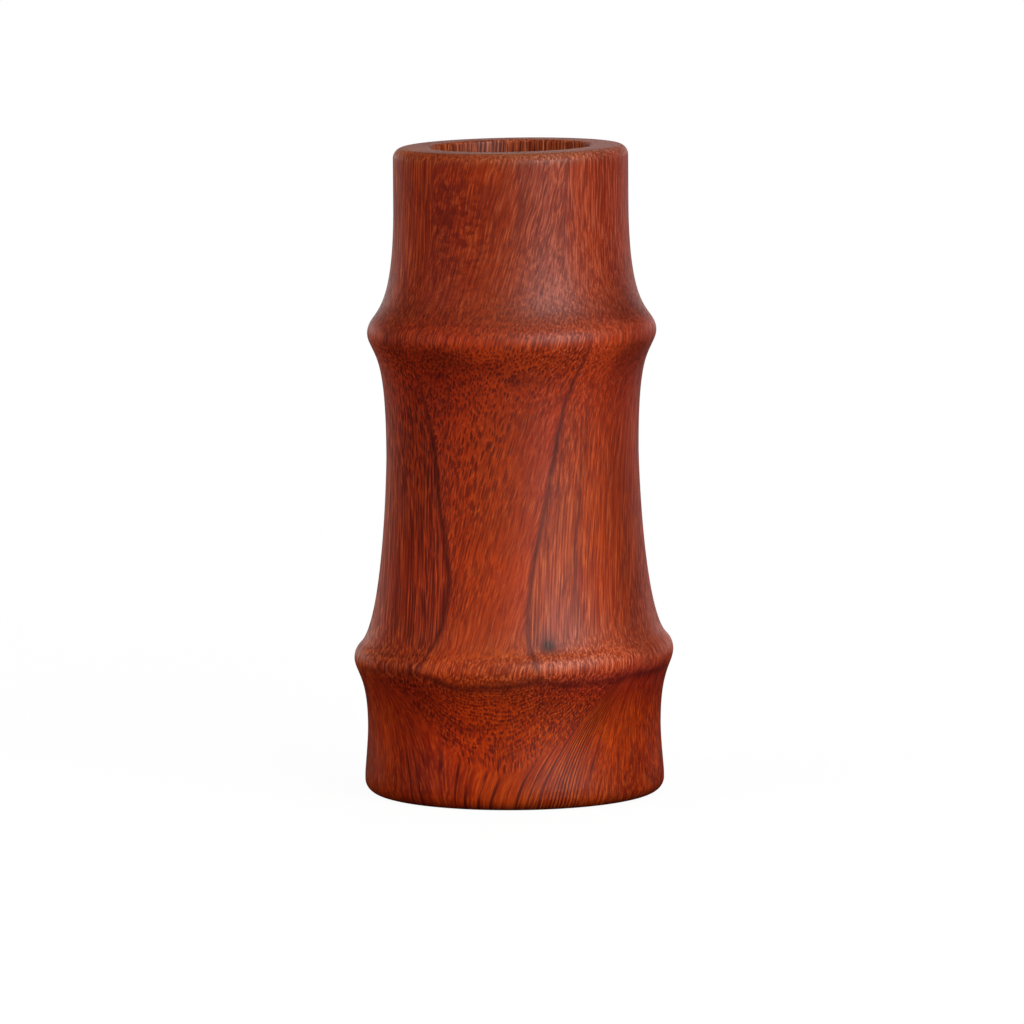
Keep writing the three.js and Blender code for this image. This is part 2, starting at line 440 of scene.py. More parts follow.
pores_round = np.where(z > STREAK_TOP, through(SIDE_PORES, angle), through(FOOT_PORES, angle))
pore_depth = by_zone(through(TONGUE_PORES, z) * (1 - calm), through(OUTER_PORES, z) * pores_round)
line_depth = by_zone(through(TONGUE_LINES, z) * (1 - calm), through(OUTER_LINES, z))
fibre_depth = through(FIBRES_UP, z) * through(FIBRES_ROUND, angle)
store("pore_depth", np.where(in_bore, 1.0, pore_depth))
store("line_depth", np.where(in_bore, 0.0, line_depth))
store("fibre_depth", np.where(in_bore, BORE_FIBRES, fibre_depth))
print(f"pores {pore_depth.min():.2f} to {pore_depth.max():.2f}, fibres up to {fibre_depth.max():.2f}")

# %% [markdown]
# ## Streaks at the foot
#
# Under the lower ring the fibres come out in a bowl of dots, and below and beside that bowl they run
# down to the foot in long streaks that spread as they climb. A streak is named by its angle at the
# foot. How far it has turned at a height is a share of its whole turn, so its foot angle is found by
# starting from the angle here and taking half the error off, again and again. The shader draws thin
# lines at even foot angles, dashes at the sides and a bundle of finer lines at the right.

# %% Foot angle of the streaks
STREAK_TURN = {-180: 0, -90: -4, -50: -10, -40: -16, -32: -19, -25: 8, -18: 20, -9: 28, 0: 35, 8: 32,
               17: 25, 26: 20, 31: 17, 40: 10.5, 50: 4, 60: 1, 90: 0, 180: 0}
STREAK_DRIFT = {-180: 0.15, -60: 0.15, -36: 0.1, 26: 0.1, 42: 0.15, 180: 0.15}
STREAK_BEND = 1.6
SOLVING_STEPS = 24
ERROR_TAKEN_OFF = 0.5

turned = np.clip(z / STREAK_TOP, 0, 1) ** STREAK_BEND
foot_angle = angle.copy()
for _ in range(SOLVING_STEPS):
    foot_angle += ERROR_TAKEN_OFF * (angle - foot_angle - through(STREAK_TURN, foot_angle) * turned)
spread = FOOT_RADIUS + through(STREAK_DRIFT, foot_angle) * z
around = np.radians(foot_angle)
store("foot_fibre", np.stack([spread * np.sin(around), -spread * np.cos(around), z], axis=1))
print(f"foot angles {foot_angle.min():.0f} to {foot_angle.max():.0f} degrees")

# %% Edge of the bowl, share of lines and the bundle
BOWL_EDGE = {-180: 21, -56: 21, -46: 18, -33: 13, -23: 8.2, -13: 6.8, -2: 6.1, 10: 9, 22: 12, 30: 15.7,
             44: 21, 180: 21}
LINE_SHARE = {-180: 0.3, -60: 0.4, -42: 0.9, -25: 1, 24: 1, 34: 0.9, 46: 0.5, 60: 0.3, 180: 0.3}
BUNDLE_DEPTH = {0: 0.9, 8: 1, 14: 1, 18: 0.85, 21: 0.4, 23: 0}
BUNDLE_ANGLE, BUNDLE_SPREAD = 17.4, 9.0


def patch(value, centre, reach):
    """One at the centre, falling to zero at the reach on both sides: one minus the squared share of it."""
    return np.clip(1 - ((value - centre) / reach) ** 2, 0, 1)


bundle = patch(foot_angle, BUNDLE_ANGLE, BUNDLE_SPREAD) * through(BUNDLE_DEPTH, z)
store("foot_zone", through(BOWL_EDGE, angle) - z)
store("line_share", through(LINE_SHARE, foot_angle))
store("bundle", bundle)
print(f"bundle on {np.mean(bundle > 0):.1%} of the points")

# %% [markdown]
# ## Tone, with painted light and shade
#
# The tone is a product of slow curves, and it paints light and shade into the colour. The crests of both
# rings are lighter, a painted highlight, and under both rings and in the valley above the upper one the
# colour is darker, a painted shade; the far left and right edges are lighter, a painted sheen. The tone is
# also deeper beside the left vein, along the bundle and low on the right. Green and blue have curves of
# their own: they fall near the foot and beside the right vein, where the wood is redder, and under the
# rings, as part of the painted shade. They rise on the crest of the lower ring and on the flat of the rim,
# more on its right, and blue rises towards the right: all of that is painted sheen. The bore has one plain
# tone. A patch of the neck is rippled, most of all in its middle.

# %% Curves of the tone, with painted light and shade
# Lighter towards the far left and right edges: a painted sheen.
TONE_ROUND = {-180: 0.95, -100: 0.98, -68: 1.2, -50: 0.95, -36: 0.9, -26: 0.98, 10: 1, 25: 1.1, 40: 1.1,
              55: 1.02, 75: 1.1, 180: 0.95}
# Lighter on the crests of both rings, a painted highlight; darker in the valley above the upper ring, a
# painted shade; less red on the flat of the rim, part of its painted sheen.
TONE_UP = {0: 0.98, 4: 1.06, 10: 1.2, 18: 1.12, 21: 1.2, 22.8: 1.38, 24.5: 1.2, 28: 1.17, 40: 1.19,
           50: 1.12, 62: 1.06, 68: 1.08, 72: 1.28, 73.7: 1.46, 75: 1.26, 76: 1.07, 77: 0.93, 77.9: 0.77,
           78.8: 0.69, 80: 0.71, 82: 0.83, 85: 0.9, 90: 0.94, 100: 0.97, 103: 0.97, 105: 0.88}
GREEN_ROUND = {-180: 0.9, -105: 0.9, -75: 1.05, -58: 0.82, -32: 0.74, -5: 1.05, 30: 1.08, 60: 0.94,
               180: 0.9}
# Green and blue rise on the crest of the lower ring and on the flat of the rim, a painted sheen, and fall
# below the upper ring, a painted shade.
GREEN_UP = {0: 0.85, 18: 0.9, 24: 1.26, 30: 1.05, 50: 0.98, 60: 0.9, 70: 0.8, 76: 1, 90: 1, 100: 1,
            103: 1.1, 105: 2.1}
# Blue rises towards the right, a painted sheen on the side of the key lamp.
BLUE_ROUND = {-180: 0.8, -100: 0.65, -60: 0.35, -32: 0.25, 0: 1, 30: 1.25, 60: 1.2, 180: 0.8}
BLUE_UP = {0: 0.22, 18: 0.25, 24: 0.9, 30: 0.5, 60: 0.45, 70: 0.45, 76: 0.65, 90: 0.7, 100: 0.7, 103: 0.85,
           105: 3}
FOOT_TONE = {-180: 0.9, -65: 0.82, -45: 0.78, -25: 0.98, -10: 1.1, 8: 1.08, 22: 0.99, 35: 0.92, 60: 0.97,
             180: 0.9}
BORE_TONE = (1.03, 1.7, 1.5)
CALM_RED = 0.3
# Green and blue on the rim are raised more on its right: its painted sheen is stronger there.
RIM_SHEEN_SKEW = 0.17
print(f"{through(TONE_UP, LOWER_RING[1]):.2f} times the plain colour on the lower ring")

# %% Shades: painted shade by the rings, and darker wood elsewhere
LEFT_SHADE = {18: 0, 23: 0.22, 28: 0.1, 58: 0.15, 66: 0.1, 72: 0.18, 76: 0.26, 80: 0.08, 86: 0}
LEFT_SIDE = (-75, -60)
VEIN_BLEND = 5 / 3
# On the far right: a painted shade just under both rings and in the valley above the upper one, and a darker
# band between the rings.
RIGHT_SHADE = {20: 0, 23: 0.22, 30: 0.3, 42: 0.28, 55: 0.14, 62: 0.08, 67: 0.16, 70: 0.32, 74: 0.38,
               75.2: 0.2, 76.3: 0.08, 77.5: 0.2, 79: 0.27, 82: 0.22, 88: 0.08, 105: 0}
RIGHT_SIDE, RIGHT_END = (42, 56), (90, 70)
# A painted shade under the upper ring, left of the front.
UPPER_RING_PAINTED_SHADE = {62: 0, 66: 0.15, 69: 0.28, 74: 0.22, 76: 0}
UPPER_RING_SHADE_ANGLE, UPPER_RING_SHADE_SPREAD = -30.0, 15.0
# A painted shade under the lower ring: darker, and redder with less green.
UNDER_UP = {14: 0, 16.5: 0.5, 18.5: 1, 21: 1, 22.3: 0.4, 23.5: 0}
UNDER_ROUND = {-180: 0.3, -75: 0.8, -45: 0.8, -30: 0.4, 0: 0.4, 18: 0.8, 35: 1, 66: 1, 85: 0.5, 180: 0.3}
UNDER_RING_PAINTED_SHADE, UNDER_RING_SHADE_RED = 0.1, 0.35
BUNDLE_DARK = 0.28
FOOT_BLEND = (STREAK_TOP + 1, STREAK_TOP - 2)


def ramp(value, start, end):
    """Zero at the start and one at the end, straight between them and level past them."""
    return np.clip((value - start) / (end - start), 0, 1)


left_of_vein = ramp(beside["left_vein"], VEIN_BLEND, -VEIN_BLEND) * ramp(angle, *LEFT_SIDE)
far_right = ramp(angle, *RIGHT_SIDE) * ramp(angle, *RIGHT_END)
painted_shade_under_ring = through(UNDER_UP, z) * through(UNDER_ROUND, angle)
shades = [
    through(LEFT_SHADE, z) * left_of_vein,
    through(RIGHT_SHADE, z) * far_right,
    through(UPPER_RING_PAINTED_SHADE, z) * patch(angle, UPPER_RING_SHADE_ANGLE, UPPER_RING_SHADE_SPREAD),
    ramp(z, *FOOT_BLEND) * (1 - through(FOOT_TONE, angle)),
    BUNDLE_DARK * bundle * turned,
    UNDER_RING_PAINTED_SHADE * painted_shade_under_ring,
]
print(f"{len(shades)} shades, the deepest takes off {max(shade.max() for shade in shades):.2f}")

# %% Tone, with its painted light and shade, and the ripple
RIPPLE_ANGLE, RIPPLE_SPREAD = -25.0, 22.0
RIPPLE_HEIGHT, RIPPLE_RISE = 93.0, 13.0

tone = through(TONE_ROUND, angle) * through(TONE_UP, z)
for shade in shades:
    tone *= 1 - shade
# Less green in the calm wood beside the right vein, and under the lower ring as painted shade.
red_wood_and_painted_shade = (1 - CALM_RED * calm * tongue_share) * (1 - UNDER_RING_SHADE_RED * painted_shade_under_ring)
# Painted sheen on the rim: more green and blue towards its right.
on_rim = ramp(z, vase_height - RIM_ROUNDING, vase_height)
painted_rim_sheen = 1 + RIM_SHEEN_SKEW * on_rim * x / rim_radius
green = through(GREEN_UP, z) * through(GREEN_ROUND, angle) * red_wood_and_painted_shade * painted_rim_sheen
blue = through(BLUE_UP, z) * through(BLUE_ROUND, angle) * painted_rim_sheen
tones = np.stack([tone, tone * green, tone * blue], axis=1)
tones[in_bore] = BORE_TONE
store("tone", tones)
ripple = 1 - ((angle - RIPPLE_ANGLE) / RIPPLE_SPREAD) ** 2 - ((z - RIPPLE_HEIGHT) / RIPPLE_RISE) ** 2
store("ripple", np.clip(ripple, 0, 1))
print(f"tone {tone.min():.2f} to {tone.max():.2f}")

# %% [markdown]
# ## Small tools for materials
#
# A material is a chain of nodes. These helpers add one node each, fill its inputs with numbers or with
# the outputs of other nodes, and give back the output, so that a chain reads like a formula. An output
# knows the node tree it is in, so only what starts a chain has to be told its tree. A fade is written
# as two or four numbers: where it starts and where it ends, and what it is worth at either place.

# %% Node helpers
def tint(red, green, blue):
    """A colour given as screen values from 0 to 255, in the linear values that shaders work with."""
    screen = np.array([red, green, blue]) / 255
    linear = np.where(screen <= 0.04045, screen / 12.92, ((screen + 0.055) / 1.055) ** 2.4)
    return (*linear.tolist(), 1.0)


def fill(made, inputs):
    """Links an output to, or sets a constant on, each named input of a node."""
    for key, value in inputs.items():
        if isinstance(value, bpy.types.NodeSocket):
            made.id_data.links.new(value, made.inputs[key])
        else:
            made.inputs[key].default_value = value


def node(tree, kind, inputs=None, **settings):
    """Adds one shader node, sets its properties, fills its inputs and gives back its outputs."""
    made = tree.nodes.new("ShaderNode" + kind)
    for key, value in settings.items():
        setattr(made, key, value)
    fill(made, inputs or {})
    return made.outputs


def tree_of(*values):
    """The node tree of the first output among the values."""
    return next(value.id_data for value in values if isinstance(value, bpy.types.NodeSocket))


def maths(operation, *values, clamp=False):
    """One step of arithmetic on numbers or outputs."""
    inputs = dict(enumerate(values))
    return node(tree_of(*values), "Math", inputs, operation=operation, use_clamp=clamp)[0]


def times(first, second):
    """The product of two numbers or outputs."""
    return maths("MULTIPLY", first, second)


def fade(value, low, high, start=0.0, end=1.0):
    """A smooth step from start to end as value goes from low to high."""
    inputs = {"Value": value, "From Min": low, "From Max": high, "To Min": start, "To Max": end}
    return node(value.id_data, "MapRange", inputs, interpolation_type="SMOOTHSTEP")[0]


def mix(share, first, second, blend="MIX"):
    """The first colour with a share of the second mixed in, or multiplied by it."""
    inputs = {0: share, 6: first, 7: second}
    return node(tree_of(share, first, second), "Mix", inputs, data_type="RGBA", blend_type=blend)[2]


def mix_value(share, first, second):
    """A number between first and second."""
    return node(share.id_data, "Mix", {0: share, 2: first, 3: second}, data_type="FLOAT")[0]


# %% Places and patterns
def stored(tree, name, output="Fac"):
    """A value that the mesh keeps under this name."""
    return node(tree, "Attribute", attribute_name=name)[output]


def part(vector, axis):
    """One of the three numbers of a vector."""
    return node(vector.id_data, "SeparateXYZ", {0: vector})[axis]


def combined(operation, first, second):
    """Two vectors, added, multiplied or measured."""
    return node(first.id_data, "VectorMath", {0: first, 1: second}, operation=operation)


def stretched(vector, scale):
    """A place multiplied by a scale along each axis."""
    return node(vector.id_data, "Mapping", {"Vector": vector, "Scale": scale})[0]


def noise(vector, scale, detail=2.0, roughness=0.5):
    """Smooth noise about 0.5 with the given number of waves per unit."""
    inputs = {"Vector": vector, "Scale": scale, "Detail": detail, "Roughness": roughness}
    return node(vector.id_data, "TexNoise", inputs)["Fac"]


def long_noise(vector, waves, detail=1.0, roughness=0.5):
    """Smooth noise about 0.5 with its own number of waves per unit along each axis."""
    return noise(stretched(vector, waves), 1.0, detail, roughness)


def place_in_mm(tree):
    """The place in the object, in millimetres."""
    return stretched(node(tree, "TexCoord")["Object"], (1 / MM, 1 / MM, 1 / MM))


# %% Materials
def new_material(name):
    """A new node material, its tree and its Principled shader."""
    material = bpy.data.materials.new(name)
    material.use_nodes = True
    return material, material.node_tree, material.node_tree.nodes["Principled BSDF"]


def hollows(share, strength, depth_mm):
    """A normal that sinks the surface by the depth where the share is one."""
    inputs = {"Height": share, "Strength": strength, "Distance": depth_mm * MM}
    return node(share.id_data, "Bump", inputs, invert=True)[0]


def give_finish(piece, material):
    """Puts the material on the piece and says how many nodes it has."""
    piece.data.materials.append(material)
    print(f"{piece.name}: {material.name}, {len(material.node_tree.nodes)} nodes")


# %% [markdown]
# ## Pores, as a node group
#
# The vessels of this wood are tubes about a third of a millimetre wide, with finer ones between them.
# The cells of a flat Voronoi pattern, carried along the fibre, give such tubes, and a slow noise lets
# them wander and swell. A noise drawn out along the fibre gives flecks of light and dark fibre. The
# body and the plug both need these, so they are a group: its inputs are the fibre place in millimetres
# and how much a row of vessels swells there.

# %% Pores
PORES_PER_MM, FINE_PORES_PER_MM = 2.3, 4.9
PORE_SCATTER = 0.85
SWELL_WAVES, PORE_SIZES = (1.4, 1.4, 0.22), (0.3, 0.7, 0.28, 0.44)
ROW_SWELL, OWN_SWELL = 0.14, 0.12
PORE_EDGE, OWN_DEPTH = (-0.08, 0.12), (0, 0.8, 0.45, 1)
FINE_PORE_EDGE = (0.15, 0.45, 0.35, 0)


def cells_across(place, per_mm, scatter=1.0):
    """A flat Voronoi pattern across the fibre."""
    inputs = {"Vector": place, "Scale": per_mm, "Randomness": scatter}
    return node(place.id_data, "TexVoronoi", inputs, voronoi_dimensions="2D")


def coarse_pores(place, row):
    """Cells cut at a size that swells along the fibre and in rows, each with its own size and depth."""
    cells = cells_across(place, PORES_PER_MM, PORE_SCATTER)
    own = node(place.id_data, "SeparateColor", {0: cells["Color"]})
    size = maths("MULTIPLY_ADD", row, ROW_SWELL, fade(long_noise(place, SWELL_WAVES), *PORE_SIZES))
    size = maths("MULTIPLY_ADD", own["Red"], OWN_SWELL, size)
    inside = fade(maths("SUBTRACT", size, cells["Distance"]), *PORE_EDGE)
    return times(inside, fade(own["Green"], *OWN_DEPTH))


# %% The pore group
WANDER_WAVES, WANDER_REACH = (0.25, 0.25, 0.12), (1.2, 1.2, 0)
FLECK_WAVES, FLECK_DETAIL, FLECK_ROUGHNESS = (3.5, 3.5, 0.22), 4, 0.7
PORE_SOCKETS = [("Fibre place", "INPUT", "Vector"), ("Row", "INPUT", "Float"),
                ("Pores", "OUTPUT", "Float"), ("Flecks", "OUTPUT", "Float")]


def make_pore_group():
    """The darker of coarse and fine pores at a wandering fibre place, and the flecks of a long noise."""
    group = bpy.data.node_groups.new("fibre_pores", "ShaderNodeTree")
    for name, way, kind in PORE_SOCKETS:
        group.interface.new_socket(name, in_out=way, socket_type="NodeSocket" + kind)
    given = group.nodes.new("NodeGroupInput").outputs
    results = group.nodes.new("NodeGroupOutput")
    fibre = given["Fibre place"]
    slow = {"Vector": stretched(fibre, WANDER_WAVES), "Scale": 1, "Detail": 1}
    wander = node(group, "TexNoise", slow)["Color"]
    place = combined("ADD", fibre, combined("MULTIPLY", wander, WANDER_REACH)[0])[0]
    fine = fade(cells_across(place, FINE_PORES_PER_MM)["Distance"], *FINE_PORE_EDGE)
    pores = maths("MAXIMUM", coarse_pores(place, given["Row"]), fine)
    fill(results, {"Pores": pores, "Flecks": long_noise(place, FLECK_WAVES, FLECK_DETAIL, FLECK_ROUGHNESS)})
    return group


pore_group = make_pore_group()
print(f"{pore_group.name}: {len(pore_group.nodes)} nodes")


def pores_of(fibre, row):
    """The pores, from 0 to 1, and the flecks, a noise about 0.5, at a fibre place."""
    made = node(fibre.id_data, "Group", {"Fibre place": fibre, "Row": row}, node_tree=pore_group)
    return made["Pores"], made["Flecks"]


# %% [markdown]
# ## The red hardwood
#
# The colour is built in the order in which the wood has it: broad bands of growth, brown mottling and
# the broad streaks of the foot; dark and light fibres, the ripple on the neck and the pores; then the
# bundle, the veins and a small knot just above the lower ring. The light fibres are pinker than the wood,
# a painted sheen on their ridges. The tone multiplies all of it, and with it the painted light and shade
# of the rings, the edges and the rim. A picture wrapped round the vase would stretch over the rings and
# show a seam; patterns in space do neither. An oil finish leaves a satin sheen, a little duller in the
# pores, which also lie a hair below the surface.

# %% Growth bands and zones
BAND_WIDTH = 0.27
BENDS_PER_MM, BEND_REACH = 0.15, 1.2
UNEVEN_PER_MM, UNEVEN_TURN = 0.9, 14.0
BROAD_PER_MM = 0.45
RAGGED_PER_MM, RAGGED_REACH = 0.22, 0.4
TONGUE_EDGE, FOOT_EDGE, FOOT_RAGGED = (-0.3, 0.3), (-1, 1.5), 2.0


def growth_bands(tree, place):
    """A row value from -1 to 1, and the broad bands from 0 to 1, both along the layer number."""
    bent = maths("MULTIPLY_ADD", noise(place, BENDS_PER_MM), BEND_REACH, stored(tree, "layer"))
    across = node(tree, "CombineXYZ", {"X": bent})[0]
    uneven = times(noise(across, UNEVEN_PER_MM, 1), UNEVEN_TURN)
    row = maths("COSINE", maths("MULTIPLY_ADD", bent, 2 * math.pi / BAND_WIDTH, uneven))
    return row, noise(across, BROAD_PER_MM)


def wood_zones(tree, place):
    """A ragged offset in millimetres, and how far a place is in the tongue and in the foot, from 0 to 1."""
    ragged = maths("MULTIPLY_ADD", noise(place, RAGGED_PER_MM, 1), 2 * RAGGED_REACH, -RAGGED_REACH)
    in_tongue = fade(maths("ADD", stored(tree, "tongue"), ragged), *TONGUE_EDGE)
    in_foot = fade(maths("MULTIPLY_ADD", ragged, FOOT_RAGGED, stored(tree, "foot_zone")), *FOOT_EDGE)
    return ragged, in_tongue, in_foot


# %% Pores and thin lines along the fibre
LINE_PITCH, LINE_EDGE = 0.5, (0.4, 0.9)
LINE_SWAY_WAVES, LINE_SWAY = (0.3, 0.3, 0.03), 9.0
LINE_BREAK_WAVES, LINE_BREAK = (0.9, 0.9, 0.16), (0.42, 0.56)


def fine_lines(fibre):
    """Thin lines at an even pitch across the fibre; one slow noise sways them and another breaks them."""
    sway = times(long_noise(fibre, LINE_SWAY_WAVES, 2), LINE_SWAY)
    wave = maths("SINE", maths("MULTIPLY_ADD", part(fibre, "X"), 2 * math.pi / LINE_PITCH, sway))
    return times(fade(wave, *LINE_EDGE), fade(long_noise(fibre, LINE_BREAK_WAVES), *LINE_BREAK))


def side_grain(tree, fibre_name, row):
    """The pores with the thin lines among them, and the flecks, along the fibre stored under a name."""
    fibre = stored(tree, fibre_name, "Vector")
    pores, flecks = pores_of(fibre, row)
    return maths("MAXIMUM", pores, times(fine_lines(fibre), stored(tree, "line_depth"))), flecks


# %% Lines and dashes of the foot
FOOT_LINES, FOOT_LINE_EDGE = 76, (0.6, 0.95)
FOOT_SWAY_WAVES, FOOT_SWAY = (0.3, 0.3, 0.06), 4.0
FOOT_BREAK_WAVES, FOOT_BREAK = (0.45, 0.45, 0.12), (0.4, 0.56, 0.3, 1)
FOOT_ROW = 0.3
DASHES_AMONG_LINES, DASHES_IN_BUNDLE = 0.3, 0.25


def foot_grain(tree):
    """Lines at even foot angles with pores between them, the flecks, and the foot angle in radians."""
    fibre = stored(tree, "foot_fibre", "Vector")
    line_share = stored(tree, "line_share")
    foot_turn = maths("ARCTAN2", part(fibre, "X"), times(part(fibre, "Y"), -1))
    sway = times(long_noise(fibre, FOOT_SWAY_WAVES), FOOT_SWAY)
    wave = maths("SINE", maths("MULTIPLY_ADD", foot_turn, FOOT_LINES, sway))
    lines = times(fade(wave, *FOOT_LINE_EDGE), fade(long_noise(fibre, FOOT_BREAK_WAVES), *FOOT_BREAK))
    pores, flecks = pores_of(fibre, FOOT_ROW)
    dashes = times(pores, mix_value(line_share, 1, DASHES_AMONG_LINES))
    pores = maths("MAXIMUM", dashes, times(lines, line_share))
    return times(pores, mix_value(stored(tree, "bundle"), 1, DASHES_IN_BUNDLE)), flecks, foot_turn


# %% Grain of the whole body
def body_grain(tree, row, in_tongue, in_foot):
    """Pores and flecks of the tongue, of the wood beside it and of the foot, each in its own zone."""
    row = times(row, stored(tree, "row_depth"))
    tongue_pores, tongue_flecks = side_grain(tree, "tongue_fibre", row)
    outer_pores, outer_flecks = side_grain(tree, "outer_fibre", row)
    foot_pores, foot_flecks, foot_turn = foot_grain(tree)
    pores = mix_value(in_foot, mix_value(in_tongue, outer_pores, tongue_pores), foot_pores)
    flecks = mix_value(in_foot, mix_value(in_tongue, outer_flecks, tongue_flecks), foot_flecks)
    return pores, flecks, foot_turn


# %% Ground colour
WOOD_LIGHT = tint(166, 63, 20)
WOOD_MIDDLE = tint(147, 43, 9)
WOOD_DARK = tint(108, 24, 4)
WOOD_BROWN = tint(112, 32, 10)
BROAD_RANGE, MIDDLE_SHARE = (0.3, 0.7), 0.6
MOTTLE_WAVES, MOTTLE = (0.35, 0.35, 0.13), (0.5, 0.75, 0, 0.6)
STREAK_WAVES = (0.7, 0.7, 0.05)
DARK_STREAK, LIGHT_STREAK = (0.5, 0.66, 0, 0.6), (0.5, 0.34, 0, 0.6)


def ground_colour(tree, broad, in_foot):
    """Bands of growth, brown mottling, and broad dark and light streaks in the foot."""
    colour = mix(fade(broad, *BROAD_RANGE), WOOD_DARK, WOOD_LIGHT)
    colour = mix(MIDDLE_SHARE, colour, WOOD_MIDDLE)
    mottle = long_noise(stored(tree, "tongue_fibre", "Vector"), MOTTLE_WAVES, 3)
    colour = mix(fade(mottle, *MOTTLE), colour, WOOD_BROWN)
    streak = long_noise(stored(tree, "foot_fibre", "Vector"), STREAK_WAVES, 2)
    colour = mix(times(in_foot, fade(streak, *DARK_STREAK)), colour, WOOD_DARK)
    return mix(times(in_foot, fade(streak, *LIGHT_STREAK)), colour, WOOD_LIGHT)


# %% Fibres, ripple, pores and the bundle
# The light fibres are pinker than the wood: a painted sheen on their ridges.
FLECK_AND_SHEEN_COLOUR = tint(172, 76, 52)
PORE_COLOUR = tint(74, 9, 1)
DARK_FIBRE, LIGHT_FIBRE = (0, -0.15, 0, 0.75), (0, 0.17, 0, 0.85)
RIPPLE_WAVES, RIPPLE = (0.55, 0.55, 0.9), (0.46, 0.6, 0, 0.8)
BUNDLE_LINES = 250
DARK_BUNDLE, LIGHT_BUNDLE = (0, 0.6, 0, 0.95), (0, -0.8, 0, 0.3)


def draw_grain(tree, colour, place, pores, flecks):
    """Dark and light fibres, the ripple of the neck and the pores, each as strong as the mesh says."""
    flecks = times(maths("SUBTRACT", flecks, 0.5), stored(tree, "fibre_depth"))
    colour = mix(fade(flecks, *DARK_FIBRE), colour, WOOD_DARK)
    colour = mix(fade(flecks, *LIGHT_FIBRE), colour, FLECK_AND_SHEEN_COLOUR)
    ripple = fade(long_noise(place, RIPPLE_WAVES), *RIPPLE)
    colour = mix(times(ripple, stored(tree, "ripple")), colour, WOOD_DARK)
    return mix(times(pores, stored(tree, "pore_depth")), colour, PORE_COLOUR)


def draw_bundle(tree, colour, foot_turn):
    """Fine light and dark lines at even foot angles, where the mesh says that the bundle runs."""
    wave = maths("SINE", times(foot_turn, BUNDLE_LINES))
    here = stored(tree, "bundle")
    colour = mix(times(fade(wave, *LIGHT_BUNDLE), here), colour, FLECK_AND_SHEEN_COLOUR)
    return mix(times(fade(wave, *DARK_BUNDLE), here), colour, PORE_COLOUR)


# %% Veins and the knot
VEIN_COLOUR = tint(68, 13, 12)
KNOT_COLOUR = tint(46, 12, 9)
SOFT_FROM, SOFT_SHARE = 0.1, 0.65
CORE_WIDTH, CORE_SHARE = 0.45, 0.25
PATCHES_PER_MM, PATCHES = 0.3, (0.35, 0.65, 0.75, 1)
KNOT_ANGLE = math.radians(13.4)
KNOT_HEIGHT = 26.6
KNOT_HALO, KNOT_HEART = (0.7, 3.2, 0.5, 0), (0.3, 1.5, 0.85, 0)
knot_radius = float(np.interp(KNOT_HEIGHT, outside[:, 1], outside[:, 0]))
knot_place = (knot_radius * math.sin(KNOT_ANGLE), -knot_radius * math.cos(KNOT_ANGLE), KNOT_HEIGHT)
print(f"knot {knot_radius:.1f} mm from the axis")


def draw_veins(tree, colour, place, ragged):
    """For each line a soft band and a darker core, by the distance to it, with an uneven depth."""
    patchy = fade(noise(place, PATCHES_PER_MM, 2), *PATCHES)
    for name, line in (VEINS | CROSS_LINES).items():
        width = line["width"]
        offset = maths("ABSOLUTE", maths("ADD", stored(tree, name), ragged))
        soft = fade(offset, SOFT_FROM * width, width, SOFT_SHARE, 0)
        core = fade(offset, 0, CORE_WIDTH * width, CORE_SHARE, 0)
        depth = times(patchy, stored(tree, name + "_depth"))
        share = maths("MULTIPLY", maths("ADD", soft, core), depth, clamp=True)
        colour = mix(share, colour, VEIN_COLOUR)
    return colour


def draw_knot(colour, place):
    """A dark heart in a soft halo, by the distance in space from the knot's middle."""
    away = combined("DISTANCE", place, knot_place)["Value"]
    colour = mix(fade(away, *KNOT_HALO), colour, VEIN_COLOUR)
    return mix(fade(away, *KNOT_HEART), colour, KNOT_COLOUR)


# %% The hardwood material
SATIN, SATIN_SPECULAR = (0, 1, 0.42, 0.52), 0.3
RIM_POLISH, FOOT_POLISH = (0.8, 0.98, 0, -0.02), (16, 24, -0.08, 0)
PORE_BUMP, PORE_HOLLOW = 0.2, 0.04


def satin_roughness(tree, place, pores):
    """Roughness from wood to pore; the flat of the rim and the foot are rubbed a little smoother."""
    upward = part(node(tree, "NewGeometry")["Normal"], "Z")
    roughness = maths("ADD", fade(pores, *SATIN), fade(upward, *RIM_POLISH))
    return maths("ADD", roughness, fade(part(place, "Z"), *FOOT_POLISH))


def make_hardwood():
    """Zones, bands and grain first, then the colour in its order, the tone, and the finish."""
    material, tree, shader = new_material("red_hardwood")
    place = place_in_mm(tree)
    ragged, in_tongue, in_foot = wood_zones(tree, place)
    row, broad = growth_bands(tree, place)
    pores, flecks, foot_turn = body_grain(tree, row, in_tongue, in_foot)
    colour = ground_colour(tree, broad, in_foot)
    colour = draw_grain(tree, colour, place, pores, flecks)
    colour = draw_bundle(tree, colour, foot_turn)
    colour = draw_veins(tree, colour, place, ragged)
    colour = draw_knot(colour, place)
    # The tone brings in the painted light and shade of the rings, the edges and the rim.
    colour = mix(1, colour, stored(tree, "tone", "Vector"), "MULTIPLY")
    fill(shader, {"Base Color": colour, "Roughness": satin_roughness(tree, place, pores)})
    fill(shader, {"Specular IOR Level": SATIN_SPECULAR, "Normal": hollows(pores, PORE_BUMP, PORE_HOLLOW)})
    return material


give_finish(wood_body, make_hardwood())

# %% [markdown]
# ## Plug wood, cork and glass
#
# The plug is cut from a board, so its fibres lie flat. Cork is pressed from grains, each of its own
# brown, with darker crevices. The glass is clear and very slightly green, with faint wiping marks. They
# hardly show inside the vase, so each has only a few nodes.

# %% Plug wood
PLUG_TURN = (0, math.pi / 2, 0.3)
PLUG_FIBRES, PLUG_PORES = (0.4, 0.7), 0.6
PLUG_ROUGHNESS = (0, 1, 0.55, 0.7)


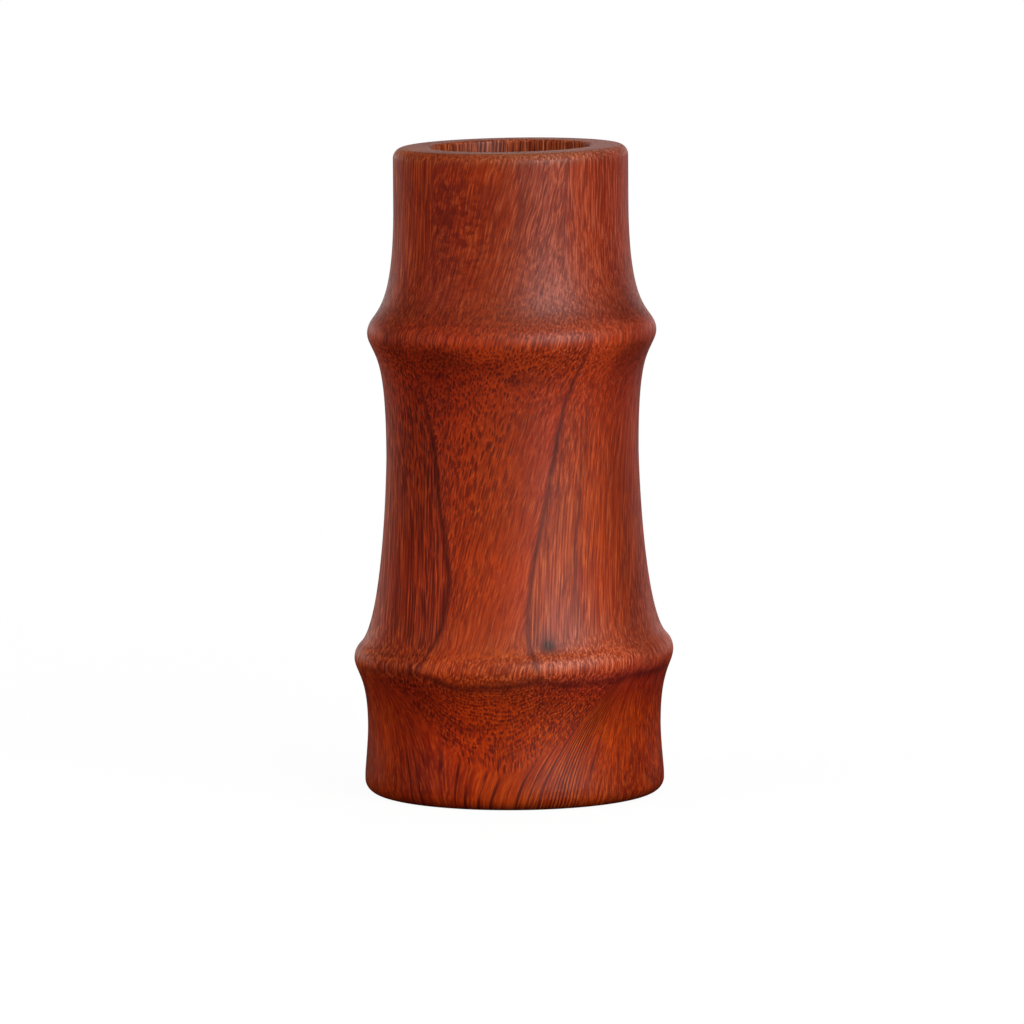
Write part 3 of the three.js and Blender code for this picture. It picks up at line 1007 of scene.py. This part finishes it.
def make_plug_wood():
    """The pores and flecks of the body, with the fibres turned flat."""
    material, tree, shader = new_material("plug_wood")
    flat = node(tree, "Mapping", {"Vector": place_in_mm(tree), "Rotation": PLUG_TURN})[0]
    pores, flecks = pores_of(flat, 0)
    colour = mix(fade(flecks, *PLUG_FIBRES), WOOD_BROWN, WOOD_MIDDLE)
    colour = mix(times(pores, PLUG_PORES), colour, PORE_COLOUR)
    fill(shader, {"Base Color": colour, "Roughness": fade(pores, *PLUG_ROUGHNESS)})
    return material


give_finish(plug, make_plug_wood())

# %% Cork
CORK_LIGHT = tint(196, 152, 102)
CORK_DARK = tint(150, 104, 64)
CORK_CREVICE = tint(88, 54, 32)
CORK_GRAINS_PER_MM = 0.9
SPECKS_PER_MM, SPECKS = 2.5, (0.35, 0.7, 0, 0.5)
CREVICE_EDGE, CREVICE_SHARE = (0, 0.12, 1, 0), 0.7
CREVICE_BUMP, CREVICE_HOLLOW = 0.5, 0.1
CORK_ROUGHNESS = 0.9


def make_cork():
    """Voronoi grains between two browns, with fine specks and dark hollows where two grains meet."""
    material, tree, shader = new_material("cork")
    place = place_in_mm(tree)
    inputs = {"Vector": place, "Scale": CORK_GRAINS_PER_MM}
    grains = node(tree, "TexVoronoi", inputs)["Color"]
    own = node(tree, "SeparateColor", {0: grains})[0]
    edges = node(tree, "TexVoronoi", inputs, feature="DISTANCE_TO_EDGE")["Distance"]
    crevice = fade(edges, *CREVICE_EDGE)
    colour = mix(own, CORK_DARK, CORK_LIGHT)
    colour = mix(fade(noise(place, SPECKS_PER_MM, 3), *SPECKS), colour, CORK_DARK)
    colour = mix(times(crevice, CREVICE_SHARE), colour, CORK_CREVICE)
    normal = hollows(crevice, CREVICE_BUMP, CREVICE_HOLLOW)
    fill(shader, {"Base Color": colour, "Roughness": CORK_ROUGHNESS, "Normal": normal})
    return material


give_finish(cork, make_cork())

# %% Glass
GLASS_CLEAR = tint(252, 254, 253)
GLASS_GREEN = tint(243, 250, 247)
GLASS_BENDING = 1.5
MARK_WAVES, MARKS = (0.3, 0.3, 0.05), (0.45, 0.8, 0, 0.06)


def make_glass():
    """Clear glass whose tint and sheen change faintly along upright wiping marks."""
    material, tree, shader = new_material("clear_glass")
    marks = long_noise(place_in_mm(tree), MARK_WAVES, 3)
    colour = mix(marks, GLASS_CLEAR, GLASS_GREEN)
    fill(shader, {"Base Color": colour, "Roughness": fade(marks, *MARKS)})
    fill(shader, {"Transmission Weight": 1, "IOR": GLASS_BENDING})
    return material


give_finish(glass, make_glass())

# %% [markdown]
# ## Floor, room and lamps
#
# The vase stands on a floor that the camera sees as white, pure white far off, and that still takes a
# faint shadow close by. What the sheen mirrors is set apart from that: a floor that is dark near the
# vase and paler behind it, and a room that is bright only low down behind it, a little more at the
# left, with a dim ceiling. This keeps the red deep and leaves a pale edge only where the surface turns
# away. A soft key lamp at the front right gives the sheen; a fill at the left, a lamp above and one
# behind lift the shade without a sheen of their own.

# %% Floor
PURE_WHITE = (1, 1, 1, 1)
FLOOR_HALF = 3000.0
FLOOR_GAP = 0.05
FLOOR_WHITE = (0.9, 0.9, 0.9, 1)
FLOOR_BOUNCE = (0.12, 0.12, 0.12, 1)
FLOOR_NEAR = (0.01, 0.01, 0.01, 1)
FLOOR_FAR = (0.3, 0.3, 0.3, 1)
NEAR_TO_FAR = (0.1, 0.4)
FLOOR_GLOW = (0.1, 0.6, 0.95, 1)


def seen_directly(tree):
    """One for what the camera sees, also through glass, and zero for light that goes round the room."""
    path = node(tree, "LightPath")
    return maths("MAXIMUM", path["Is Camera Ray"], path["Is Transmission Ray"])


def make_floor_white():
    """Matt for light that bounces; for the camera nearly all glow, and nothing but glow far off."""
    material, tree, _ = new_material("floor_white")
    tree.nodes.clear()
    seen = seen_directly(tree)
    glossy = node(tree, "LightPath")["Is Glossy Ray"]
    place = node(tree, "TexCoord")["Object"]
    mirrored = mix(fade(part(place, "Y"), *NEAR_TO_FAR), FLOOR_NEAR, FLOOR_FAR)
    bounce = mix(glossy, FLOOR_BOUNCE, mirrored)
    matt = node(tree, "BsdfDiffuse", {"Color": mix(seen, bounce, FLOOR_WHITE)})[0]
    glow = node(tree, "Emission", {"Color": PURE_WHITE, "Strength": 1.0})[0]
    far_off = node(tree, "VectorMath", {0: place}, operation="LENGTH")["Value"]
    share = times(seen, fade(far_off, *FLOOR_GLOW))
    mixed = node(tree, "MixShader", {0: share, 1: matt, 2: glow})[0]
    node(tree, "OutputMaterial", {"Surface": mixed})
    return material


corners = np.array([(-1, -1, 0), (1, -1, 0), (1, 1, 0), (-1, 1, 0)]) * FLOOR_HALF - (0, 0, FLOOR_GAP)
floor = mesh_object("floor", corners, [(0, 1, 2, 3)])
give_finish(floor, make_floor_white())

# %% Room
ROOM_LIGHT = 0.5
ROOM_BACK, ROOM_LOW = (0.45, 1, 0, 1.3), (0.05, 0.32, 1, 0.05)
ROOM_LEFT, ROOM_CEILING = (-0.2, -0.5, 1, 1.3), (0.75, 0.95, 0, 0.2)


def make_room():
    """White for the camera, one grey for bounced light, and for the sheen a glow low down behind."""
    world = bpy.data.worlds.new("room")
    bpy.context.scene.world = world
    world.use_nodes = True
    world.cycles.sampling_method = "NONE"
    tree = world.node_tree
    tree.nodes.clear()
    direction = node(tree, "TexCoord")["Generated"]
    mirrored = times(fade(part(direction, "Y"), *ROOM_BACK), fade(part(direction, "Z"), *ROOM_LOW))
    mirrored = times(mirrored, fade(part(direction, "X"), *ROOM_LEFT))
    mirrored = maths("MAXIMUM", mirrored, fade(part(direction, "Z"), *ROOM_CEILING))
    glossy = node(tree, "LightPath")["Is Glossy Ray"]
    strength = mix_value(glossy, ROOM_LIGHT, mirrored)
    strength = mix_value(seen_directly(tree), strength, 1)
    background = node(tree, "Background", {"Color": PURE_WHITE, "Strength": strength})
    node(tree, "OutputWorld", {"Surface": background[0]})
    print(f"{world.name}: {len(tree.nodes)} nodes")


make_room()

# %% Lamps
def soft_lamp(name, position, size, watts, in_sheen=True):
    """A square lamp that faces the middle of the vase; it can be left out of the sheen."""
    lamp = bpy.data.lights.new(name, "AREA")
    lamp.size = size
    lamp.energy = watts
    made = bpy.data.objects.new(name, lamp)
    made.location = position
    made.visible_glossy = in_sheen
    middle = Vector((0, 0, vase_height * MM / 2))
    made.rotation_euler = (middle - made.location).to_track_quat("-Z", "Y").to_euler()
    bpy.context.scene.collection.objects.link(made)
    print(f"{name} lamp: {watts} W")


soft_lamp("key", position=(0.6, -0.76, 0.5), size=0.8, watts=11.5)
soft_lamp("fill", position=(-0.95, -0.4, 0.3), size=0.7, watts=5.8, in_sheen=False)
soft_lamp("top", position=(0.1, 0, 0.9), size=0.6, watts=1.0, in_sheen=False)
soft_lamp("back", position=(0.2, 1.2, 0.15), size=0.9, watts=8.0, in_sheen=False)

# %% [markdown]
# ## Camera
#
# The place, the pitch and the roll of the camera were solved from the two silhouettes, the rim and the
# foot in the photo, with the height of the vase as the scale. It is a long lens from a good way off.

# %% Camera
PHOTO_PIXELS = 1024
FOCAL_PIXELS = 8686.35
CAMERA_PLACE = (-0.15, -1398.6, 211.06)
CAMERA_PITCH = 6.752
CAMERA_ROLL = 0.392
SENSOR = 36.0
FARTHEST_SEEN = 20

camera_data = bpy.data.cameras.new("camera")
camera_data.sensor_width = SENSOR
camera_data.lens = FOCAL_PIXELS * SENSOR / PHOTO_PIXELS
camera_data.clip_end = FARTHEST_SEEN
camera = bpy.data.objects.new("camera", camera_data)
shift = Matrix.Translation(Vector(CAMERA_PLACE) * MM)
pitch = Matrix.Rotation(math.radians(90 - CAMERA_PITCH), 4, "X")
roll = Matrix.Rotation(math.radians(-CAMERA_ROLL), 4, "Z")
camera.matrix_world = shift @ pitch @ roll
bpy.context.scene.collection.objects.link(camera)
bpy.context.scene.camera = camera
bpy.context.scene.view_settings.view_transform = "Standard"
print(f"camera with a {camera_data.lens:.0f} mm lens, {-CAMERA_PLACE[1] * MM:.2f} m in front")
